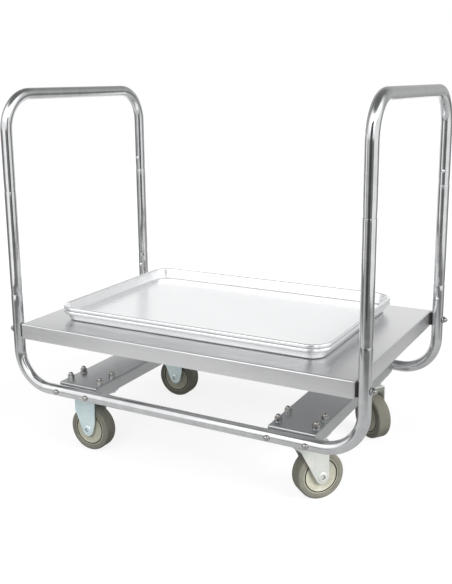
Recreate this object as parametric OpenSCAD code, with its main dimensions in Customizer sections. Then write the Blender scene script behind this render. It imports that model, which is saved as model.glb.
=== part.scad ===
// Dough box trolley: a folded steel deck hung between two bent bottom tubes,
// a tall tube handle at each end, two rigid and two swivel casters,
// and two nested sheet pans lying on the deck.
// Origin: on the floor under the middle of the trolley. X runs end to end, Y front to back.

/* [Frame tubes] */
// Outside diameter of every frame tube
tube_d = 25.4; // [22:0.1:28]
// Wall thickness of the frame tubes
tube_wall = 1.5; // [1:0.1:2]
// Distance between leg centres, end to end
leg_span_x = 814; // [780:1:900]
// Distance between leg centres, front to back
leg_span_y = 501; // [490:1:560]
// Centre line radius of the bends in the bottom tubes
bottom_bend_r = 80; // [60:1:95]
// Centre line radius of the bends in the handles
handle_bend_r = 78; // [60:1:110]
// Height of the handle bars' centre line
handle_z = 799; // [740:1:950]
// Height of the joints between the bottom tubes and the posts
low_joint_z = 362; // [355:1:420]
// Height of the joints between the posts and the handles
high_joint_z = 592; // [540:1:620]

/* [Tube joints] */
// Length over which the upper tube narrows above a joint
neck_len = 23; // [10:1:28]
// How much the upper tube's radius narrows at a joint
neck_cut = 0.6; // [0.2:0.1:0.9]
// Length of the sleeve inside each joint
sleeve_len = 90; // [76:1:120]
// Wall thickness of the joint sleeve
sleeve_wall = 1.5; // [1:0.1:2.5]
// Distance from a joint line to its screw
screw_offset = 31; // [29:1:36]
// Shank diameter of the joint screws
screw_d = 4.8; // [4:0.1:6]
// Head diameter of the joint screws
screw_head_d = 8; // [7:0.1:10]
// Length of the joint screws under the head
screw_len = 8; // [6:0.5:12]

/* [Deck] */
// Height of the deck's top surface
deck_z = 297; // [290:1:310]
// Height of the deck's folded skirts
skirt_h = 34; // [28:1:40]
// How far the long skirts stand outside the legs' centre line
deck_overhang = 10.3; // [9:0.1:14]
// Thickness of the deck sheet
deck_sheet = 1.5; // [1:0.1:2]
// Outside radius of the deck's folded edges
deck_fold_r = 3; // [2.2:0.1:5]
// Thickness of the saddle spacers where a leg is nearest to the deck
spacer_min = 3; // [2:0.1:6]
// Width of the saddle spacers
spacer_w = 14; // [12:0.5:18]
// Height of the saddle spacers
spacer_h = 28; // [22:0.5:30]
// How far the saddle spacers reach round the leg
spacer_reach = 4.6; // [4:0.1:5]
// Distance of the stiffeners from the deck's middle line
stiffener_y = 120; // [90:1:150]
// Width of the stiffeners' raised web
stiffener_w = 46; // [40:1:60]
// Depth of the stiffeners
stiffener_h = 22; // [16:1:24]
// Width of each stiffener's welded edge
stiffener_edge = 14; // [10:1:18]
// Gap between each stiffener's end and the deck's end skirt
stiffener_end_gap = 24; // [15:1:40]

/* [Cross channels] */
// Distance from the middle of the trolley to each channel and caster
channel_x = 258; // [245:1:268]
// Outside width of a channel
channel_w = 102; // [98:1:110]
// Outside height of a channel
channel_h = 27; // [25:1:30]
// How far a channel's top stands above the bottom tubes
channel_rise = 2.3; // [1:0.1:4]
// Thickness of the channel sheet
channel_sheet = 2; // [1.5:0.1:2.5]
// Outside radius of the channels' folded edges
channel_fold_r = 3.5; // [2.8:0.1:5]

/* [Casters] */
// Wheel diameter
wheel_d = 101.6; // [96:0.1:106]
// Width of the tyre
tyre_w = 34; // [28:0.5:35]
// Diameter of the hub inside the tyre
hub_d = 78.4; // [74:0.1:82]
// Radius of the tyre's rounded shoulders
tyre_shoulder_r = 4.5; // [3:0.1:8.5]
// Height of the casters' top faces
caster_h = 141; // [138:1:146]
// Distance from the middle of the trolley to each caster, front to back
caster_y = 187; // [180:1:192]
// Length of the casters' top plates, along the trolley
plate_l = 102; // [98:1:106]
// Width of the casters' top plates
plate_w = 68; // [64:1:76]
// Thickness of the casters' top plates
plate_t = 3; // [2.5:0.1:4]
// Bolt spacing of the top plates, along the trolley
bolt_pitch_x = 80; // [78:0.5:84]
// Bolt spacing of the top plates, front to back
bolt_pitch_y = 46; // [42:0.5:50]
// Thickness of the fork sheet
fork_t = 3; // [2.5:0.1:3.5]
// Inside width of the forks
fork_gap = 40; // [39:0.5:44]
// Outside radius of the forks' folds
fork_fold_r = 6; // [4.5:0.1:8]
// Reach of a rigid fork's legs from the axle towards the trolley's near end
rigid_leg_back = 33; // [26:0.5:36]
// Reach of a rigid fork's legs from the axle towards the middle of the trolley
rigid_leg_front = 21; // [18:0.5:30]
// Height at which a rigid fork's sloping edge starts to taper
rigid_knee_z = 92; // [80:1:100]
// Height at which a rigid fork's upright edge turns in to the rounded end
rigid_toe_z = 70; // [60:1:90]
// Radius of the forks' rounded lower ends
fork_end_r = 14.5; // [13:0.1:16]
// Distance from the swivel's centre line back to its axle
trail = 36.5; // [32:0.5:40]
// Reach of the swivel fork in front of its centre line
fork_nose = 28; // [24:0.5:30]
// Height of the swivel bearing between plate and fork
race_h = 12; // [11.6:0.1:14]
// Diameter of the bearing balls
ball_d = 6; // [5:0.1:6.5]
// Radius of the circle of balls
ball_ring_r = 23; // [21:0.5:24]
// Number of balls in one swivel
ball_count = 16; // [10:1:20]
// Diameter of the king pin
king_pin_d = 12; // [10:0.5:14]
// Outside diameter of the hollow axle
axle_d = 14; // [12:0.5:16]
// Bore of the hollow axle
axle_bore = 9.2; // [8:0.1:11]
// Diameter of the axle's flared ends
axle_flare_d = 20.5; // [18:0.5:24]
// Thickness of the axle's flared ends
axle_flare_t = 2.6; // [1.8:0.1:3]
// Thickness at the rim of the axle's flared ends
axle_flare_edge = 0.9; // [0.6:0.1:1.6]
// Resting angle of the front swivel about the vertical
front_swivel_deg = 49; // [-180:1:180]
// Resting angle of the rear swivel about the vertical
rear_swivel_deg = -36; // [-180:1:180]

/* [Fasteners] */
// Thread diameter of the deck, channel and caster bolts
bolt_d = 8; // [6:0.5:8]
// Width across flats of the bolt heads and nuts
hex_af = 13; // [12:0.1:14]
// Height of the hexagon heads
hex_head_h = 5.3; // [4:0.1:6]
// Height of the plain nuts
nut_h = 6.5; // [5:0.1:8]
// Height of the cap nuts on the caster bolts
caster_cap_h = 13.5; // [12.5:0.1:16]
// Height of the cap nuts on the deck bolts
deck_cap_h = 9; // [8.6:0.1:12]
// Washer diameter
washer_d = 16; // [15:0.1:17]
// Washer thickness
washer_t = 1.6; // [1:0.1:2]
// Diameter of the channel bolts' domed heads
dome_d = 13; // [12:0.1:16]
// Height of the channel bolts' domed heads
dome_h = 6; // [4.6:0.1:7]
// Height of the straight rim under the dome
dome_rim = 1.8; // [1:0.1:2.5]

/* [Sheet pans] */
// Length of a pan over its rim
pan_l = 650; // [560:1:660]
// Width of a pan over its rim
pan_w = 440; // [380:1:460]
// Height of a pan
pan_h = 25.4; // [22:0.1:32]
// Thickness of the pan sheet
pan_sheet = 1.2; // [1:0.1:1.4]
// Outside diameter of the rolled rim
rim_d = 8.4; // [7.6:0.1:9]
// Inset of the pan's base from the outside of the rim
pan_inset = 13; // [12.6:0.1:16]
// Corner radius of the rim
pan_corner_r = 46; // [36:1:60]
// Radius between the pan's floor and wall
pan_fillet_r = 6; // [4:0.5:8]
// Position of the pans on the deck, along the trolley
pan_x = -14; // [-30:1:30]
// Position of the pans on the deck, front to back
pan_y = 16; // [-20:1:20]

/* [Fits] */
// Gap between fixed pieces that fit into each other
fit_gap = 0.1; // [0.05:0.01:0.2]
// Extra radius of a bolt hole over its bolt
hole_gap = 0.3; // [0.1:0.05:0.5]
// Running gap of a shaft in its bore, on the radius
run_gap = 0.05; // [0.02:0.01:0.09]
// Gap between pieces that move past each other
move_gap = 0.3; // [0.2:0.05:0.5]

/* [Hidden] */
$fn = 64;
// Every through cut runs this far past the face it leaves
past = 1;

stainless = "#c4c6c8";
zinc = "#cfd9da";
black_plastic = "#2a2a2a";
tread_grey = "#8a857c";
hub_cream = "#b5ad93";
nylon = "#e4e0d2";
aluminium = "#e6e8ea";

tube_r = tube_d / 2;
tube_bore_r = tube_r - tube_wall;
leg_x = leg_span_x / 2;
leg_y = leg_span_y / 2;
bottom_z = caster_h + channel_h - channel_rise - tube_r;
sleeve_r = tube_bore_r - fit_gap;
bolt_r = bolt_d / 2;
hole_r = bolt_r + hole_gap;
screw_r = screw_d / 2;

deck_end_x = leg_x - tube_r - spacer_min;
deck_side_y = leg_y + deck_overhang;
deck_under_z = deck_z - skirt_h;
deck_bolt_z = deck_z - skirt_h / 2;

channel_top_z = caster_h + channel_h;
channel_end_y = leg_y - tube_r;
axle_z = wheel_d / 2;
plate_under_z = caster_h - plate_t;
fork_out = fork_gap / 2 + fork_t;
crown_z = plate_under_z - race_h;
ball_z = crown_z + race_h / 2 - 0.1;
ball_groove_r = ball_d / 2 + 0.15;
race_gap = 2.6;
lower_race_r = ball_ring_r + 5.5;
race_skirt_t = 1.7;
king_head_d = king_pin_d + 10;
king_head_h = 4;

pan_base_z = deck_z + move_gap;
pan_pitch = rim_d + move_gap;
rim_r = rim_d / 2;
wire_r = rim_r - pan_sheet - fit_gap;

// The tangent point on a circle, seen from a point outside it; side is 1 or -1
function tangent_point(p, c, r, side) =
    let (d = c - p, far = norm(d), turn = atan2(d.y, d.x) + side * asin(r / far))
    p + sqrt(far * far - r * r) * [cos(turn), sin(turn)];

// One of the four corners for each pair of signs
module at_corners() {
    for (sx = [-1, 1], sy = [-1, 1]) mirror([sx < 0 ? 1 : 0, 0, 0]) mirror([0, sy < 0 ? 1 : 0, 0]) children();
}

// Runs a cylinder along +Y from the origin
module cyl_y(r, l) rotate([-90, 0, 0]) cylinder(r = r, h = l);

// Runs a cylinder along +X from the origin
module cyl_x(r, l) rotate([0, 90, 0]) cylinder(r = r, h = l);

// A hexagon bar standing on the origin
module hex_bar(h) cylinder(d = hex_af / cos(30), h = h, $fn = 6);

// A rectangle whose corners are arcs, centred on the origin
module round_rect(w, h, r) {
    square([w - 2 * r, h], center = true);
    square([w, h - 2 * r], center = true);
    for (x = [-1, 1], y = [-1, 1]) translate([x * (w / 2 - r), y * (h / 2 - r)]) circle(r);
}

// A rectangle from z0 to z1 whose two upper corners are arcs
module arch_rect(w, z0, z1, r) {
    translate([-w / 2, z0]) square([w, z1 - z0 - r]);
    translate([-w / 2 + r, z0]) square([w - 2 * r, z1 - z0]);
    for (x = [-1, 1]) translate([x * (w / 2 - r), z1 - r]) circle(r);
}

// A closed block with folded upper edges: two arch profiles that cross at right angles
module folded_block(l, w, z0, z1, r) {
    intersection() {
        rotate([90, 0, 0]) linear_extrude(w, center = true) arch_rect(l, z0, z1, r);
        rotate([90, 0, 90]) linear_extrude(l, center = true) arch_rect(w, z0, z1, r);
    }
}

// A folded tray, open side down
module folded_tray(l, w, z0, z1, sheet, r) {
    difference() {
        folded_block(l, w, z0, z1, r);
        folded_block(l - 2 * sheet, w - 2 * sheet, z0 - past, z1 - sheet, r - sheet);
    }
}

// Section of a tube wall whose upper end is a full round lip
module lipped_wall(l) {
    translate([tube_bore_r, 0]) square([tube_wall, l - tube_wall / 2]);
    translate([tube_bore_r + tube_wall / 2, l - tube_wall / 2]) circle(tube_wall / 2);
}

// Section of a tube wall that narrows towards its lower end
module necked_wall(l) {
    polygon([[tube_bore_r, 0], [tube_r - neck_cut, 0], [tube_r, neck_len], [tube_r, l], [tube_bore_r, l]]);
}

// A quarter bend that leads from the lowest point of its arc up to the right
module quarter_bend(bend_r) {
    rotate([90, 0, 0]) rotate([0, 0, -90]) rotate_extrude(angle = 90) translate([bend_r, 0]) difference() {
        circle(tube_r);
        circle(tube_bore_r);
    }
}

// A straight tube along X, centred on the origin, with a bend at each end
module bent_bar(span, bend_r) {
    straight = span / 2 - bend_r;
    rotate([0, 90, 0]) linear_extrude(2 * straight, center = true) difference() {
        circle(tube_r);
        circle(tube_bore_r);
    }
    for (side = [0, 1]) mirror([side, 0, 0]) translate([straight, 0, bend_r]) quarter_bend(bend_r);
}

module bottom_tube(side) {
    leg_h = low_joint_z - bottom_z - bottom_bend_r;
    color(stainless) translate([0, side * leg_y, bottom_z]) difference() {
        union() {
            bent_bar(leg_span_x, bottom_bend_r);
            for (x = [-leg_x, leg_x]) translate([x, 0, bottom_bend_r]) rotate_extrude() lipped_wall(leg_h);
        }
        for (x = [-leg_x, leg_x]) {
            translate([x - tube_d, 0, deck_bolt_z - bottom_z]) cyl_x(hole_r, 2 * tube_d);
            translate([x, 0, low_joint_z - bottom_z - screw_offset]) rotate([0, 0, side > 0 ? 180 : 0])
                cyl_y(screw_r + fit_gap, tube_d);
        }
        for (x = [-channel_x, channel_x], dx = [-1, 1])
            translate([x + dx * bolt_pitch_x / 2, -tube_d, 0]) cyl_y(hole_r, 2 * tube_d);
    }
}

module post(sx, sy) {
    foot_z = low_joint_z + fit_gap;
    color(stainless) translate([sx * leg_x, sy * leg_y, foot_z]) rotate_extrude() difference() {
        union() {
            necked_wall(neck_len);
            translate([0, neck_len]) lipped_wall(high_joint_z - foot_z - neck_len);
        }
    }
}

module handle(side) {
    foot_z = high_joint_z + fit_gap;
    color(stainless) translate([side * leg_x, 0, 0]) difference() {
        union() {
            translate([0, 0, handle_z]) rotate([0, 180, 90]) bent_bar(leg_span_y, handle_bend_r);
            for (y = [-leg_y, leg_y]) translate([0, y, foot_z]) rotate_extrude()
                necked_wall(handle_z - handle_bend_r - foot_z);
        }
        for (y = [-1, 1]) translate([0, y * leg_y, high_joint_z + screw_offset]) rotate([0, 0, y > 0 ? 180 : 0])
            cyl_y(screw_r + fit_gap, tube_d);
    }
}

module joint_sleeves() {
    color(stainless) at_corners() translate([leg_x, leg_y, 0])
        for (joint = [[low_joint_z, -1], [high_joint_z, 1]]) difference() {
            translate([0, 0, joint[0] - sleeve_len / 2]) cylinder(r = sleeve_r, h = sleeve_len);
            translate([0, 0, joint[0] - sleeve_len / 2 - past])
                cylinder(r = sleeve_r - sleeve_wall, h = sleeve_len + 2 * past);
            translate([0, -tube_d, joint[0] + joint[1] * screw_offset]) cyl_y(screw_r + fit_gap, tube_d);
        }
}

// A small domed screw whose head rests on the tube
module joint_screw() {
    sink = tube_r - sqrt(tube_r * tube_r - screw_head_d * screw_head_d / 4);
    translate([0, -tube_r, 0]) {
        cyl_y(screw_r, screw_len);
        intersection() {
            translate([0, -screw_head_d / 3, 0]) cyl_y(screw_head_d / 2, screw_head_d / 3 + sink);
            translate([0, screw_head_d / 4, 0]) sphere(d = screw_head_d * 1.2);
        }
    }
}

module joint_screws() {
    color(stainless) at_corners() translate([leg_x, leg_y, 0]) {
        for (z = [low_joint_z - screw_offset, high_joint_z + screw_offset]) difference() {
            translate([0, 0, z]) joint_screw();
            translate([0, 0, z - tube_r]) difference() {
                cylinder(r = tube_r, h = tube_d);
                translate([0, -tube_d, tube_r]) cyl_y(screw_r + fit_gap / 2, 2 * tube_d);
            }
        }
    }
}

module deck() {
    color(stainless) difference() {
        folded_tray(2 * deck_end_x, 2 * deck_side_y, deck_under_z, deck_z, deck_sheet, deck_fold_r);
        at_corners() translate([deck_end_x - 4 * deck_sheet, leg_y, deck_bolt_z]) cyl_x(hole_r, 8 * deck_sheet);
    }
}

// Hat section stiffeners: a web below and two edges welded to the underside of the deck
module deck_stiffeners() {
    len = 2 * (deck_end_x - stiffener_end_gap);
    top = deck_z - deck_sheet;
    color(stainless) for (y = [-stiffener_y, stiffener_y]) translate([-len / 2, y, top])
        rotate([90, 0, 90]) linear_extrude(len) {
            translate([-stiffener_w / 2, -stiffener_h]) difference() {
                square([stiffener_w, stiffener_h]);
                translate([deck_sheet, deck_sheet]) square([stiffener_w - 2 * deck_sheet, stiffener_h]);
            }
            for (side = [-1, 1]) translate([side * (stiffener_w + stiffener_edge) / 2, -deck_sheet / 2])
                square([stiffener_edge + deck_sheet, deck_sheet], center = true);
        }
}

module saddle_spacers() {
    color(black_plastic) at_corners() difference() {
        translate([deck_end_x, leg_y - spacer_w / 2, deck_bolt_z - spacer_h / 2])
            cube([spacer_reach, spacer_w, spacer_h]);
        translate([leg_x, leg_y, deck_under_z - past]) cylinder(r = tube_r + fit_gap / 2, h = skirt_h + 2 * past);
        translate([deck_end_x - past, leg_y, deck_bolt_z]) cyl_x(hole_r, spacer_reach + 2 * past);
    }
}

// A hexagon head bolt along +Z whose head ends at the origin
module hex_bolt(l) {
    translate([0, 0, -hex_head_h]) hex_bar(hex_head_h);
    cylinder(r = bolt_r, h = l);
}

module washer() {
    difference() {
        cylinder(d = washer_d, h = washer_t);
        translate([0, 0, -past]) cylinder(r = bolt_r + hole_gap / 2, h = washer_t + 2 * past);
    }
}

// A cap nut along +Z: a hexagon below, a dome above and a blind bore
module cap_nut(h) {
    dome_r = hex_af / 2 - 1.1;
    difference() {
        union() {
            hex_bar(h - dome_r - 1);
            cylinder(r = dome_r, h = h - dome_r);
            translate([0, 0, h - dome_r]) sphere(dome_r);
        }
        translate([0, 0, -dome_r]) cylinder(r = bolt_r + run_gap, h = h - 3 + dome_r);
    }
}

deck_inside_x = deck_end_x - deck_sheet;
leg_out_x = leg_x + tube_r;

module deck_bolts() {
    color(zinc) at_corners() translate([deck_inside_x - washer_t, leg_y, deck_bolt_z])
        rotate([0, 90, 0]) hex_bolt(leg_out_x + deck_cap_h - 4 - deck_inside_x + washer_t);
}

module deck_washers() {
    color(zinc) at_corners() translate([0, leg_y, deck_bolt_z]) for (x = [deck_inside_x - washer_t, leg_out_x])
        translate([x, 0, 0]) rotate([0, 90, 0]) washer();
}

module deck_cap_nuts() {
    color(stainless) at_corners() translate([leg_out_x + washer_t, leg_y, deck_bolt_z])
        rotate([0, 90, 0]) cap_nut(deck_cap_h);
}

// Calls its children at the four bolt holes of each caster plate on one side, or on both
module at_caster_bolts(sides = [-1, 1]) {
    for (sx = sides, sy = [-1, 1], dx = [-1, 1], dy = [-1, 1])
        translate([sx * channel_x + dx * bolt_pitch_x / 2, sy * caster_y + dy * bolt_pitch_y / 2, 0]) children();
}

module channel(side) {
    color(stainless) difference() {
        translate([side * channel_x, 0, 0])
            folded_tray(channel_w, 2 * channel_end_y, caster_h, channel_top_z, channel_sheet, channel_fold_r);
        at_caster_bolts([side]) translate([0, 0, channel_top_z - 2 * channel_sheet]) cylinder(r = hole_r, h = channel_h);
        for (dx = [-1, 1]) translate([side * channel_x + dx * bolt_pitch_x / 2, -leg_y, bottom_z])
            cyl_y(hole_r, leg_span_y);
    }
}

// Calls its children at each channel bolt, with +Z pointing in from the outside of the bottom tube
module at_channel_bolts() {
    at_corners() for (dx = [-1, 1]) translate([channel_x + dx * bolt_pitch_x / 2, leg_y + tube_r, bottom_z])
        rotate([90, 0, 0]) children();
}

module channel_bolts() {
    cap_h = dome_h - dome_rim;
    cap_r = (dome_d * dome_d / 4 + cap_h * cap_h) / (2 * cap_h);
    color(stainless) at_channel_bolts() {
        cylinder(r = bolt_r, h = tube_d + channel_sheet + nut_h + 2);
        intersection() {
            translate([0, 0, -dome_h]) cylinder(d = dome_d, h = dome_h);
            translate([0, 0, cap_r - dome_h]) sphere(cap_r);
        }
    }
}

module channel_nuts() {
    color(zinc) at_channel_bolts() translate([0, 0, tube_d + channel_sheet]) difference() {
        hex_bar(nut_h);
        translate([0, 0, -past]) cylinder(r = bolt_r + run_gap, h = nut_h + 2 * past);
    }
}

module caster_bolts() {
    color(zinc) at_caster_bolts() translate([0, 0, plate_under_z])
        hex_bolt(plate_t + channel_h + washer_t + caster_cap_h - 4);
}

module caster_washers() {
    color(zinc) at_caster_bolts() translate([0, 0, channel_top_z]) washer();
}

module caster_cap_nuts() {
    color(stainless) at_caster_bolts() translate([0, 0, channel_top_z + washer_t]) cap_nut(caster_cap_h);
}

// The top plate that both kinds of caster share, centred on its own middle
module top_plate() {
    translate([0, 0, plate_under_z]) linear_extrude(plate_t) difference() {
        round_rect(plate_l, plate_w, 5);
        for (dx = [-1, 1], dy = [-1, 1]) translate([dx * bolt_pitch_x / 2, dy * bolt_pitch_y / 2]) circle(hole_r);
    }
}

// A folded fork: an inverted U of sheet, cut to a leg outline that is drawn from the side
module folded_fork(top_z, from_x, to_x) {
    intersection() {
        translate([from_x, 0, 0]) rotate([90, 0, 90]) linear_extrude(to_x - from_x) difference() {
            arch_rect(2 * fork_out, 0, top_z, fork_fold_r);
            arch_rect(fork_gap, -past, top_z - fork_t, fork_fold_r - fork_t);
        }
        rotate([90, 0, 0]) linear_extrude(2 * fork_out + past, center = true) children();
    }
}

module rigid_fork(side) {
    end = [0, axle_z];
    knees = [[-rigid_leg_back, rigid_knee_z], [rigid_leg_front, rigid_toe_z]];
    color(zinc) translate([-channel_x, side * caster_y, 0]) difference() {
        union() {
            top_plate();
            folded_fork(plate_under_z, -rigid_leg_back, rigid_leg_front) {
                polygon([[-rigid_leg_back, plate_under_z], knees[0], tangent_point(knees[0], end, fork_end_r, -1), end,
                         tangent_point(knees[1], end, fork_end_r, 1), knees[1], [rigid_leg_front, plate_under_z]]);
                translate(end) circle(fork_end_r);
            }
        }
        translate([0, -fork_out - past, axle_z]) cyl_y(axle_d / 2 + fit_gap, 2 * (fork_out + past));
    }
}

// The swivel's fixed plate with its upper race and dust skirt, built round the king pin
module swivel_plate(side) {
    race_under = ball_z + race_gap / 2;
    skirt_r = lower_race_r + 2 * move_gap;
    color(zinc) translate([channel_x, side * caster_y, 0]) difference() {
        union() {
            top_plate();
            translate([0, 0, race_under]) cylinder(r = skirt_r + race_skirt_t, h = plate_under_z - race_under);
            translate([0, 0, crown_z + 2 * move_gap]) difference() {
                cylinder(r = skirt_r + race_skirt_t, h = race_h - 2 * move_gap);
                translate([0, 0, -past]) cylinder(r = skirt_r, h = race_h);
            }
        }
        translate([0, 0, crown_z]) cylinder(d = king_pin_d + 2 * fit_gap, h = race_h + plate_t + past);
        translate([0, 0, ball_z]) rotate_extrude() translate([ball_ring_r, 0]) circle(ball_groove_r);
    }
}

module ball_ring(side) {
    color(stainless) translate([channel_x, side * caster_y, ball_z]) for (i = [0 : ball_count - 1])
        rotate([0, 0, i * 360 / ball_count]) translate([ball_ring_r, 0, 0]) sphere(d = ball_d, $fn = 24);
}

module king_pin(side) {
    color(zinc) translate([channel_x, side * caster_y, 0]) {
        translate([0, 0, crown_z - fork_t - move_gap - king_head_h]) cylinder(d = king_head_d, h = king_head_h);
        translate([0, 0, crown_z - fork_t - king_head_h]) cylinder(d = king_pin_d, h = caster_h - crown_z + fork_t + king_head_h);
    }
}

// Puts a swivel's moving pieces at their resting angle; they are drawn with the axle towards +X
module swivelled(side) {
    translate([channel_x, side * caster_y, 0]) rotate([0, 0, side < 0 ? front_swivel_deg : rear_swivel_deg]) children();
}

module swivel_fork(side) {
    back = trail + fork_end_r;
    end = [trail, axle_z];
    brow = [-fork_nose * 0.4, crown_z - 15];
    color(zinc) swivelled(side) difference() {
        union() {
            folded_fork(crown_z, -fork_nose, back) {
                polygon([[-fork_nose, crown_z], [-fork_nose, crown_z - fork_t], brow,
                         tangent_point(brow, end, fork_end_r, -1), end, [back, axle_z], [back, crown_z]]);
                translate(end) circle(fork_end_r);
            }
            translate([0, 0, crown_z - fork_t / 2]) cylinder(r = lower_race_r, h = fork_t / 2 + race_h / 2 - 0.1 - race_gap / 2);
        }
        translate([0, 0, crown_z - 2 * fork_t]) cylinder(d = king_pin_d + 2 * run_gap, h = race_h + 2 * fork_t);
        translate([0, 0, ball_z]) rotate_extrude() translate([ball_ring_r, 0]) circle(ball_groove_r);
        translate([trail, -fork_out - past, axle_z]) cyl_y(axle_d / 2 + fit_gap, 2 * (fork_out + past));
    }
}

// Puts a wheel piece, drawn about Z, on one of the four axles; sx is -1 on the rigid side
module on_axle(sx, sy) {
    if (sx < 0) translate([-channel_x, sy * caster_y, axle_z]) rotate([90, 0, 0]) children();
    else swivelled(sy) translate([trail, 0, axle_z]) rotate([90, 0, 0]) children();
}

// A hollow axle whose ends are flared over the fork like an eyelet
module axle(sx, sy) {
    bore_r = axle_bore / 2;
    flare_r = axle_flare_d / 2;
    end = fork_out + axle_flare_t;
    lip = 0.8;
    color(zinc) on_axle(sx, sy) rotate_extrude() polygon([
        [bore_r, lip - end], [bore_r + lip, -end], [bore_r + 2, -end], [flare_r, -fork_out - axle_flare_edge],
        [flare_r, -fork_out], [axle_d / 2, -fork_out], [axle_d / 2, fork_out],
        [flare_r, fork_out], [flare_r, fork_out + axle_flare_edge], [bore_r + 2, end], [bore_r + lip, end],
        [bore_r, end - lip]
    ]);
}

module tyre(sx, sy) {
    out_r = wheel_d / 2;
    in_r = hub_d / 2;
    color(tread_grey) on_axle(sx, sy) rotate_extrude() intersection() {
        round_rect(2 * out_r, tyre_w, tyre_shoulder_r);
        translate([in_r, -tyre_w / 2]) square([out_r - in_r, tyre_w]);
    }
}

bush_flange_t = 2.7;
bush_flange_d = axle_d + 8;
bush_d = axle_d + 5;
bush_l = 15;
hub_boss_w = fork_gap - 2 * (bush_flange_t + move_gap);

module hub(sx, sy) {
    rim_w = tyre_w - 2;
    groove_r = hub_d / 2 - 4.4;
    color(hub_cream) on_axle(sx, sy) rotate_extrude() difference() {
        union() {
            translate([0, -rim_w / 2]) square([hub_d / 2 - fit_gap, rim_w]);
            translate([0, -hub_boss_w / 2]) square([bush_flange_d / 2 + 2, hub_boss_w]);
        }
        translate([-past, -fork_gap]) square([bush_d / 2 + run_gap + past, 2 * fork_gap]);
        for (y = [-1, 1]) {
            translate([groove_r, y * rim_w / 2]) square([1.8, 5], center = true);
            translate([(groove_r + bush_flange_d) / 2, y * (rim_w / 2 + 0.5)]) square([groove_r - bush_flange_d / 2, 2.2], center = true);
        }
    }
}

module bushings(sx, sy) {
    color(nylon) on_axle(sx, sy) for (side = [0, 1]) mirror([0, 0, side]) difference() {
        union() {
            translate([0, 0, hub_boss_w / 2 - bush_l]) cylinder(d = bush_d, h = bush_l);
            translate([0, 0, hub_boss_w / 2]) cylinder(d = bush_flange_d, h = bush_flange_t);
        }
        cylinder(d = axle_d + 2 * run_gap, h = fork_gap);
    }
}

// Repeats a wall section round a pan: four straight sides and four corner turns
module round_pan(section_r) {
    run = [pan_l / 2 - section_r, pan_w / 2 - section_r];
    for (sx = [0, 1], sy = [0, 1]) mirror([sx, 0, 0]) mirror([0, sy, 0])
        translate([run.x, run.y, 0]) rotate_extrude(angle = 90) children();
    for (s = [0, 1]) {
        mirror([s, 0, 0]) translate([run.x, run.y, 0]) rotate([90, 0, 0]) linear_extrude(2 * run.y) children();
        mirror([0, s, 0]) translate([-run.x, run.y, 0]) rotate([90, 0, 90]) linear_extrude(2 * run.x) children();
    }
}

// Wall section of a pan, drawn from the corner's centre outwards, with its base on the axis
module pan_wall() {
    base = pan_corner_r - pan_inset;
    top = pan_corner_r - rim_d + pan_sheet;
    rise = pan_h - rim_r;
    bead = [pan_corner_r - rim_r, rise];
    hub = [base - pan_fillet_r, pan_fillet_r];
    foot = tangent_point([top, rise], hub, pan_fillet_r, 1);
    inner_foot = tangent_point([top - pan_sheet, rise], hub, pan_fillet_r - pan_sheet, 1);
    difference() {
        union() {
            polygon([foot, [top, rise], [top - pan_sheet, rise], inner_foot, hub]);
            intersection() {
                translate(hub) circle(pan_fillet_r);
                polygon([hub, [hub.x, -past], [base + past, -past], foot + (foot - hub)]);
            }
        }
        translate(hub) circle(pan_fillet_r - pan_sheet);
    }
    difference() {
        translate(bead) circle(rim_r);
        translate(bead) circle(rim_r - pan_sheet);
    }
}

module pan(level) {
    flat_r = pan_corner_r - pan_inset - pan_fillet_r;
    color(aluminium) translate([pan_x, pan_y, pan_base_z + level * pan_pitch]) {
        round_pan(pan_corner_r) pan_wall();
        linear_extrude(pan_sheet)
            round_rect(pan_l - 2 * (pan_corner_r - flat_r), pan_w - 2 * (pan_corner_r - flat_r), flat_r);
    }
}

module pan_wire(level) {
    color(zinc) translate([pan_x, pan_y, pan_base_z + level * pan_pitch])
        round_pan(pan_corner_r) translate([pan_corner_r - rim_r, pan_h - rim_r]) circle(wire_r);
}

bottom_tube(-1);  // front_bottom_tube
bottom_tube(1);  // rear_bottom_tube
post(-1, -1);  // post_front_left
post(1, -1);  // post_front_right
post(-1, 1);  // post_rear_left
post(1, 1);  // post_rear_right
handle(-1);  // handle_left
handle(1);  // handle_right
joint_sleeves();
joint_screws();
deck();
deck_stiffeners();
saddle_spacers();
deck_bolts();
deck_washers();
deck_cap_nuts();
channel(-1);  // channel_left
channel(1);  // channel_right
channel_bolts();
channel_nuts();
caster_bolts();
caster_washers();
caster_cap_nuts();
rigid_fork(-1);  // rigid_fork_front
rigid_fork(1);  // rigid_fork_rear
axle(-1, -1);  // axle_front_left
axle(-1, 1);  // axle_rear_left
swivel_plate(-1);  // swivel_plate_front
swivel_plate(1);  // swivel_plate_rear
king_pin(-1);  // king_pin_front
king_pin(1);  // king_pin_rear
ball_ring(-1);  // ball_ring_front
ball_ring(1);  // ball_ring_rear
swivel_fork(-1);  // swivel_fork_front
swivel_fork(1);  // swivel_fork_rear
axle(1, -1);  // axle_front_right
axle(1, 1);  // axle_rear_right
tyre(-1, -1);  // tyre_front_left
tyre(1, -1);  // tyre_front_right
tyre(-1, 1);  // tyre_rear_left
tyre(1, 1);  // tyre_rear_right
hub(-1, -1);  // hub_front_left
hub(1, -1);  // hub_front_right
hub(-1, 1);  // hub_rear_left
hub(1, 1);  // hub_rear_right
bushings(-1, -1);  // bushings_front_left
bushings(1, -1);  // bushings_front_right
bushings(-1, 1);  // bushings_rear_left
bushings(1, 1);  // bushings_rear_right
pan(0);  // lower_pan
pan_wire(0);  // lower_pan_wire
pan(1);  // upper_pan
pan_wire(1);  // upper_pan_wire
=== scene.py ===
"""Dough box trolley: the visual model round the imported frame, in metres."""
import math

import bmesh
import bpy
import numpy as np
from mathutils import Matrix


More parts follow.
